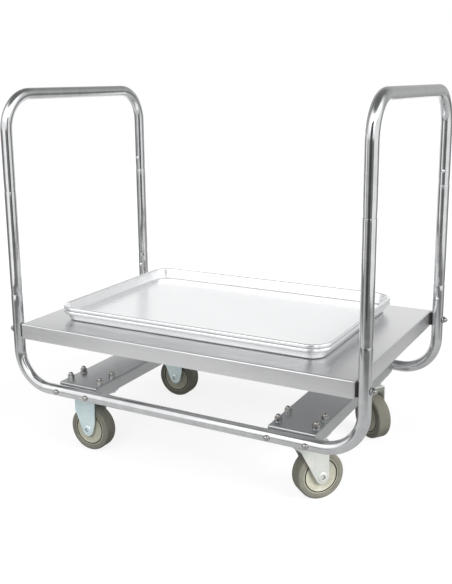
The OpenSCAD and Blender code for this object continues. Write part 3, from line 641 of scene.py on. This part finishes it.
dome_bolt = [(r, -h) for r, h in dome(6.3, 4.1, 1.9)[::-1]]
dome_bolt += [(6.5, -1.6), (6.5, -0.2), (6.3, 0.0), (shank_r, 0.0), (shank_r, 35.0), (shank_r - 0.8, 35.8),
              (0.0, 35.8)]
hex_nut = [(4.05, 0.2), (4.6, 0.0), (6.6, 0.0), (7.6, 0.6), (7.6, 5.9), (6.6, 6.5), (4.6, 6.5), (4.05, 6.3)]
through, nuts = [], []
for sx, sy in corners:
    way = (0, -sy, 0)
    for dx in (-bolt_dx, bolt_dx):
        spot = (sx * channel_x + dx, sy * (leg_y + tube_r), rail_z)
        through.append(stand(lathe(dome_bolt, 32), spot, way))
        nuts.append(stand(lathe(hex_nut, 36, hex_af), np.add(spot, (0, -sy * nut_inset, 0)), way))
piece("channel_dome_bolts", through, shade_darkened_cap, "trolley", ["channel_bolts"])
piece("channel_hex_nuts", nuts, zinc_screw, "trolley", ["channel_nuts"], "closed")

# Each caster bolt and its nut stop at an angle of their own
caster_bolt = lathe(bolt(caster_shank), 36, hex_af)
tall_cap = lathe(cap_nut(caster_cap_h), 36, hex_af)
upward = (0, 0, 1)
long_bolts, rings_on_top, caps_on_top = [], [], []
for sx, sy in corners:
    for dx, dy in ((-bolt_dx, -bolt_dy), (-bolt_dx, bolt_dy), (bolt_dx, -bolt_dy), (bolt_dx, bolt_dy)):
        x, y = sx * channel_x + dx, sy * caster_y + dy
        spin = 0.35 * dx + 0.21 * dy + sx
        long_bolts.append(stand(caster_bolt, (x, y, plate_under_z), upward, spin))
        rings_on_top.append(stand(washer, (x, y, channel_z), upward))
        caps_on_top.append(stand(tall_cap, (x, y, channel_z + washer_t), upward, spin))
piece("caster_hex_bolts", long_bolts, zinc_screw, "trolley", ["caster_bolts"])
piece("caster_plain_washers", rings_on_top, zinc_screw, "trolley", ["caster_washers"],
      "closed")
piece("caster_acorn_nuts", caps_on_top, shade_darkened_cap, "trolley", ["caster_cap_nuts"])


# Caster forks and plates. Pressed and folded 3 mm steel, bright zinc plated and passivated
# faintly blue. The left pair are fixed forks, the right pair turn on a ball race.
axle_z = 50.8
fork_end_r = 14.5
fork_half_sheet = 1.5
fork_mid_y = 21.5
fork_bend_r = 4.5
crease_x = 19.0
crease_depth = 0.7
back_knee = (-33, 92)
front_knee = (21, 70)
pivot_turn = {-1: math.radians(49), 1: math.radians(-36)}
trail = 36.5
crown_z = 126.0
plate_half_x = 51
plate_half_y = 34
plate_corner_r = 5


def zinc_plate(name, cool, warm):
    """Passivated zinc: the tint drifts from cool to warm over 20 to 40 mm, over a 1 mm spangle."""
    made, shader, place = finish(name, 0.55)
    drift = add(made, "TexNoise", {"Scale": 28.0, "Detail": 2.0}, {"Vector": place}).outputs[0]
    spangle = add(made, "TexNoise", {"Scale": 700.0, "Detail": 3.0}, {"Vector": place}).outputs[0]
    colour = add(made, "ValToRGB", {"stops": [(0.35, linear(cool)), (0.65, linear(warm))]},
                 {"Fac": drift}).outputs[0]
    rough = add(made, "MapRange", {"From Min": 0.3, "From Max": 0.7, "To Min": 0.26, "To Max": 0.4},
                {"Value": spangle}).outputs[0]
    lumps = add(made, "Bump", {"Strength": 0.15, "Distance": 0.00005}, {"Height": spangle}).outputs[0]
    # The grime attribute mixes in #2A2C2C: painted shade inside the axle bores
    bore_shade = add(made, "Attribute", {"attribute_name": "grime"}).outputs["Fac"]
    colour = add(made, "MixRGB", {"Color2": linear("#2A2C2C")}, {"Fac": bore_shade, "Color1": colour}).outputs[0]
    feed(made, shader, {"Base Color": colour, "Roughness": rough, "Normal": lumps})
    return made


# A pale satin plate that takes soft highlights. The fixed pair gets a bluer tint than the turning pair: a
# painted shade copy of one plate, and a lit copy
shaded_zinc = zinc_plate("shade_tinted_zinc_plate", "#D2E8EC", "#E2F0F0")
lit_zinc = zinc_plate("lit_zinc_plate", "#DFE4DF", "#EDEEE6")


def leg_edge(knee, centre, side):
    """Edge of a fork leg, from the point where the tangent from a knee touches the round end, down
    the arc to its lowest point. Side is -1 for the leg's left edge and 1 for its right edge."""
    to = np.subtract(centre, knee)
    far = np.hypot(*to)
    way = math.atan2(to[1], to[0]) + side * math.asin(fork_end_r / far)
    touch = np.add(knee, math.sqrt(far ** 2 - fork_end_r ** 2) * np.array([math.cos(way), math.sin(way)]))
    start = math.atan2(touch[1] - centre[1], touch[0] - centre[0])
    if side < 0:
        start %= 2 * math.pi
    t = np.linspace(start, 1.5 * math.pi if side < 0 else -0.5 * math.pi, 25)
    return np.stack([centre[0] + fork_end_r * np.cos(t), centre[1] + fork_end_r * np.sin(t)], 1)


def fork(top_z, left_edge, right_edge, crease=None):
    """Folded strip: the mid line of an inverted U, and across it a rounded sheet edge whose ends
    follow the two outlines; the part of each leg left of the crease is set in, on a smooth step
    that fades out below the bend."""
    tip = axle_z - fork_end_r
    bend_z = top_z - fork_bend_r - fork_half_sheet
    bend_y = fork_mid_y - fork_bend_r
    leg = np.stack([np.full(40, fork_mid_y), tip + (bend_z - tip) * np.linspace(0, 1, 40) ** 2], 1)
    turn = np.linspace(0, np.pi / 2, 8)[1:]
    bend = np.stack([bend_y + fork_bend_r * np.cos(turn), bend_z + fork_bend_r * np.sin(turn)], 1)
    crown = np.stack([np.linspace(bend_y, 0, 6)[1:], np.full(5, top_z - fork_half_sheet)], 1)
    half = np.concatenate([leg, bend, crown])
    line = np.concatenate([half, (half[:-1] * [-1, 1])[::-1]])
    way = np.gradient(line, axis=0)
    out = np.stack([way[:, 1], -way[:, 0]], 1) / np.linalg.norm(way, axis=1)[:, None]
    z = np.clip(line[:, 1], tip, None)
    low, high = (np.interp(z, *edge[np.argsort(edge[:, 1])][:, ::-1].T)[:, None]
                 for edge in (left_edge, right_edge))
    inner = np.concatenate([np.linspace(0, 0.12, 3), np.linspace(0.2, 0.8, 10), np.linspace(0.88, 1, 3)])
    pad = np.minimum(0.6, (high - low) / 2)
    across = low + pad + (high - low) * inner * (1 - 2 * pad / np.maximum(high - low, 1e-3))
    ring_x = np.concatenate([across, high, high, across[:, ::-1], low, low], 1)
    face = np.full(inner.size, fork_half_sheet)
    shift = np.tile(np.concatenate([face, [1.0, -1.0], -face, [-1.0, 1.0]]), (len(line), 1))
    if crease is not None:
        ease = np.clip((ring_x - crease + 3) / 6, 0, 1)
        on_leg = np.clip((top_z - 14 - line[:, 1]) / 10, 0, 1)[:, None]
        shift -= crease_depth * (1 - ease * ease * (3 - 2 * ease)) * on_leg
    y = line[:, :1] + shift * out[:, :1]
    height = line[:, 1:] + shift * out[:, 1:]
    return np.stack([ring_x, -y, height], -1)


def top_plate(x, y):
    """Mounting plate of 3 mm steel with rounded corners and eased edges."""
    wall = [(0.5, plate_under_z), (0.0, plate_under_z + 0.5), (0.0, caster_z - 0.5), (0.5, caster_z)]
    return tray(plate_half_x, plate_half_y, plate_corner_r, wall, (x, y))


def swung(grid, sy):
    """Turns a swivel piece by its resting angle about the king pin and moves it to its corner."""
    c, s = math.cos(pivot_turn[sy]), math.sin(pivot_turn[sy])
    spin = np.array([[c, s, 0], [-s, c, 0], [0, 0, 1]])
    return grid @ spin + [channel_x, sy * caster_y, 0]


# A fixed leg has a back edge that slopes and a front edge that stays upright to its knee
sloping = np.concatenate([[[back_knee[0], 139.0], back_knee], leg_edge(back_knee, (0, axle_z), -1)])
upright = np.concatenate([[[front_knee[0], 139.0], front_knee], leg_edge(front_knee, (0, axle_z), 1)])
for sy, end in ends:
    legs = fork(plate_under_z - 0.1, sloping, upright) + [-channel_x, sy * caster_y, 0]
    plate = top_plate(-channel_x, sy * caster_y)
    piece(end + "_fixed_fork", [legs, plate], shaded_zinc, "trolley", ["rigid_fork_" + end],
          "capped")

# A swivel leg is raked: its nose runs in below the crown, and a quarter circle ends its back edge
nose = np.concatenate([[[-28, 127.0], [-28, 123.0], [-11.2, 111.0]],
                       leg_edge((-11.2, 111), (trail, axle_z), -1)])
t = np.linspace(0, -np.pi / 2, 25)
heel = np.concatenate([[[trail + fork_end_r, 127.0]],
                       np.stack([trail + fork_end_r * np.cos(t), axle_z + fork_end_r * np.sin(t)], 1)])
head = [(6.1, 133.3), (19.6, 133.3), (20.1, 134.3), (26.0, 134.3), (26.5, 133.3), (29.1, 133.3),
        (29.1, 127.0), (29.4, 126.6), (30.3, 126.6), (30.8, 127.2), (30.8, 137.6), (31.0, 137.95),
        (6.1, 137.95)]
king_pin = [(0.0, 118.7), (9.8, 118.7), (11.0, 119.9), (11.0, 122.2), (10.6, 122.7), (6.0, 122.7),
            (6.0, 140.6), (5.6, 141.0), (0.0, 141.0)]
lower_race = [(6.06, 123.2), (28.2, 123.2), (28.5, 126.1), (28.5, 130.2), (28.2, 130.5), (26.2, 130.5),
              (25.6, 129.4), (20.6, 129.4), (20.0, 130.5), (6.06, 130.5)]
for sy, end in ends:
    corner = [channel_x, sy * caster_y, 0]
    plate = top_plate(channel_x, sy * caster_y)
    legs = swung(fork(crown_z, nose, heel, crease_x), sy)
    race = swung(lathe(lower_race, 72), sy)
    swivel = "swivel_" + end
    piece(end + "_swivel_head", [lathe(head, 72) + corner], lit_zinc, "trolley", [],
          "closed")
    piece(end + "_swivel_top_plate", [plate], lit_zinc, "trolley", ["swivel_plate_" + end],
          "capped")
    piece(end + "_king_pin_rivet", [lathe(king_pin) + corner], lit_zinc, "trolley",
          ["king_pin_" + end])
    piece(end + "_swivel_fork_legs", [legs], lit_zinc, swivel, ["swivel_fork_" + end],
          "capped")
    piece(end + "_lower_race", [race], lit_zinc, swivel, [], "closed")

# Ground and polished ball steel: small mirrors with a faint haze about 2 mm across
bearing_ball, shader, place = finish("polished_bearing_steel", 1.0)
shader.inputs["Base Color"].default_value = linear("#D0D0D0")
haze = add(bearing_ball, "TexNoise", {"Scale": 500.0}, {"Vector": place}).outputs[0]
rough = add(bearing_ball, "MapRange", {"To Min": 0.05, "To Max": 0.16}, {"Value": haze}).outputs[0]
feed(bearing_ball, shader, {"Roughness": rough})
for sy, end in ends:
    keep_node("ball_ring_" + end, bearing_ball)


# Wheels. A taupe grey rubber tyre is bonded to a moulded cream plastic hub with one groove
# round each face; two flanged nylon bushings run on a hollow axle that is flared over the fork.
tyre_r = 50.8
tyre_seat_r = 39.2
tyre_half_w = 17.0
shoulder_r = 5.5


def moulded(name, dark, light, roughness, scale, strength, distance, drift=30.0):
    """Rubber or plastic: fine grain in the bump and slow drift in the colour between two tints."""
    made, shader, place = finish(name)
    grain = add(made, "TexNoise", {"Scale": scale, "Detail": 4.0}, {"Vector": place}).outputs[0]
    slow = add(made, "TexNoise", {"Scale": drift, "Detail": 3.0}, {"Vector": place}).outputs[0]
    mixed = add(made, "MixRGB", {"Fac": 0.4}, {"Color1": slow, "Color2": grain}).outputs[0]
    colour = add(made, "ValToRGB", {"stops": [(0.35, linear(dark)), (0.65, linear(light))]},
                 {"Fac": mixed}).outputs[0]
    # The grime attribute mixes in #2A2813: painted shade in the hub's groove and on the tread, and dirt on
    # the hub's rim
    shade_and_soil = add(made, "Attribute", {"attribute_name": "grime"}).outputs["Fac"]
    colour = add(made, "MixRGB", {"Color2": linear("#2A2813")}, {"Fac": shade_and_soil, "Color1": colour}).outputs[0]
    rough = add(made, "MapRange", {"From Min": 0.3, "From Max": 0.7, "To Min": roughness - 0.06,
                                   "To Max": roughness + 0.06}, {"Value": grain}).outputs[0]
    relief = add(made, "Bump", {"Strength": strength, "Distance": distance}, {"Height": grain}).outputs[0]
    feed(made, shader, {"Base Color": colour, "Roughness": rough, "Normal": relief})
    return made


# Worn matt rubber shows a dusty 1 mm grain and mirrors less at a grazing angle than a moulded skin
grey_rubber = moulded("taupe_grey_non_marking_rubber", "#86847A", "#9E9C90", 0.62, 900.0, 0.4, 0.0001)
grey_rubber.node_tree.nodes["Principled BSDF"].inputs["Specular IOR Level"].default_value = 0.2
# The hub's smooth moulded skin has a low gloss, a 2 mm ripple and handling marks about 10 mm apart
cream_plastic = moulded("moulded_cream_polypropylene", "#C2C0AC", "#D3D2C2", 0.42, 500.0, 0.2, 0.00005,
                        90.0)
# Natural nylon is waxy and a little yellow
white_nylon = moulded("natural_white_nylon", "#D6D2C2", "#E6E2D4", 0.4, 700.0, 0.2, 0.00004)


def on_axle(grid, sx, sy):
    """Lays a wheel piece, turned about +Z, on its axle: (x, y, z) becomes (x, -z, y). Left axles run
    along Y, and right ones swing with the fork."""
    laid = np.stack([grid[..., 0], -grid[..., 2], grid[..., 1]], -1)
    if sx < 0:
        return laid + [-channel_x, sy * caster_y, axle_z]
    return swung(laid + [trail, 0, axle_z], sy)


def arc(centre, radius, start, stop, steps):
    """Part of a circle in a section: centre plus radius times (cos, sin), as rows, angles in degrees."""
    return [(centre[0] + radius * math.cos(math.radians(v)), centre[1] + radius * math.sin(math.radians(v)))
            for v in np.linspace(start, stop, steps)]


def mirrored(rows):
    """Rows with their heights turned over."""
    return [(r, -h) for r, h in rows]


# Each section runs from the outer face on one side to the same face on the other. The tyre has a
# mould line 0.15 mm deep round its middle; a hub face is boss, recessed web, groove and rolled rim.
tyre_face = ([(tyre_seat_r, tyre_half_w)]
             + arc((tyre_r - shoulder_r, tyre_half_w - shoulder_r), shoulder_r, 90, 0, 14)
             + [(tyre_r, 0.5), (tyre_r - 0.15, 0.3)])
tyre_wall = mirrored(tyre_face) + tyre_face[::-1]
hub_face = [(9.6, 16.6), (10.0, 17.0), (12.4, 17.0), (12.9, 16.7), (13.1, 15.6), (13.8, 14.9),
            (32.6, 14.9), (33.3, 15.3), (33.6, 15.8), (33.8, 15.9), (34.0, 13.6), (35.7, 13.6),
            (35.9, 15.8), (36.2, 16.0), (38.6, 16.0), (39.1, 15.5)]
hub_wall = mirrored(hub_face) + hub_face[::-1]
bush_wall = [(7.05, 2.3), (9.2, 2.0), (9.5, 2.3), (9.5, 17.0), (10.7, 17.0), (11.0, 17.3), (11.0, 19.4),
             (10.7, 19.7), (7.35, 19.7), (7.05, 19.4)]
flare = [(4.6, 23.9), (4.75, 24.7), (5.1, 25.3), (5.6, 25.58), (6.3, 25.58), (7.0, 25.35), (8.6, 24.7),
         (9.9, 24.05), (10.2, 23.7), (10.2, 23.1), (10.1, 23.0), (7.0, 23.0)]
axle_wall = [(4.6, -20.0)] + mirrored(flare) + flare[::-1] + [(4.6, 20.0)]
# Painted shade darkens the axle's bore, the hub's groove and the tread, and dirt greys the hub's rim
axle_bore_shade = [1.0, 1.0, 0.7] + [0.0] * (2 * len(flare) - 4) + [0.7, 1.0, 1.0]
tread_shade = [0.25 if r > 49.5 else 0.12 if r > 45 else 0.0 for r, h in tyre_wall]
groove_shade_and_rim_grime = [1.0 if 33.7 < r < 36.0 else 0.3 if r > 36.0 else 0.0 for r, h in hub_wall]
for sx, sy in corners:
    end = "front" if sy < 0 else "rear"
    corner = end + ("_left" if sx < 0 else "_right")
    body = "wheel_" + corner
    tyre, hub = (on_axle(lathe(wall, 96), sx, sy) for wall in (tyre_wall, hub_wall))
    bushes = [on_axle(lathe(wall), sx, sy) for wall in (mirrored(bush_wall), bush_wall)]
    axle = on_axle(lathe(axle_wall), sx, sy)
    holder, zinc = ("trolley", shaded_zinc) if sx < 0 else ("swivel_" + end, lit_zinc)
    piece(corner + "_rubber_tread", [tyre], grey_rubber, body, ["tyre_" + corner], "closed",
          tread_shade)
    piece(corner + "_wheel_hub", [hub], cream_plastic, body, ["hub_" + corner], "closed",
          groove_shade_and_rim_grime)
    piece(corner + "_flanged_bushes", bushes, white_nylon, body, ["bushings_" + corner],
          "closed")
    piece(corner + "_flared_axle", [axle], zinc, holder, ["axle_" + corner], "closed",
          axle_bore_shade)


# Sheet pans. Two full size bakery pans, pressed from 1.2 mm natural aluminium and nested,
# with a rolled rim closed round a galvanised wire. They lie loose on the deck.
pan_half_x = 325
pan_half_y = 220
pan_corner_r = 46
pan_place = (-14, 16)
pan_sheet = 1.2
pan_foot = (19.0, 6.0)
pan_foot_r = 6.0
bead_r = 4.2
bead_z = 21.2
pan_rest_z = deck_z + 0.3
pan_nest = 8.7

# Under the floor's edge, up the wall, round the bead, and down inside to the floor
pan_section = (arc(pan_foot, pan_foot_r, 270, 188, 9) + arc((bead_r, bead_z), bead_r, -44, -360, 33)
               + arc(pan_foot, pan_foot_r - pan_sheet, 188, 270, 9))
# Mill finish aluminium: paler and softer than steel, with faint rolling lines 1.4 mm apart along the pan
mill_pan = brushed("pressed_natural_aluminium", "#E5E6E7", "#ECEDEE", 0.23, (2.0, 60.0, 60.0), 0.002, 0.75)
for level, name in enumerate(("lower", "upper")):
    wall = [(inset, pan_rest_z + pan_nest * level + z) for inset, z in pan_section]
    pan = tray(pan_half_x, pan_half_y, pan_corner_r, wall, pan_place, 20)
    piece(name + "_sheet_pan", [pan], mill_pan, name + "_pan", [name + "_pan"], "capped")
    keep_node(name + "_pan_wire", zinc_screw)
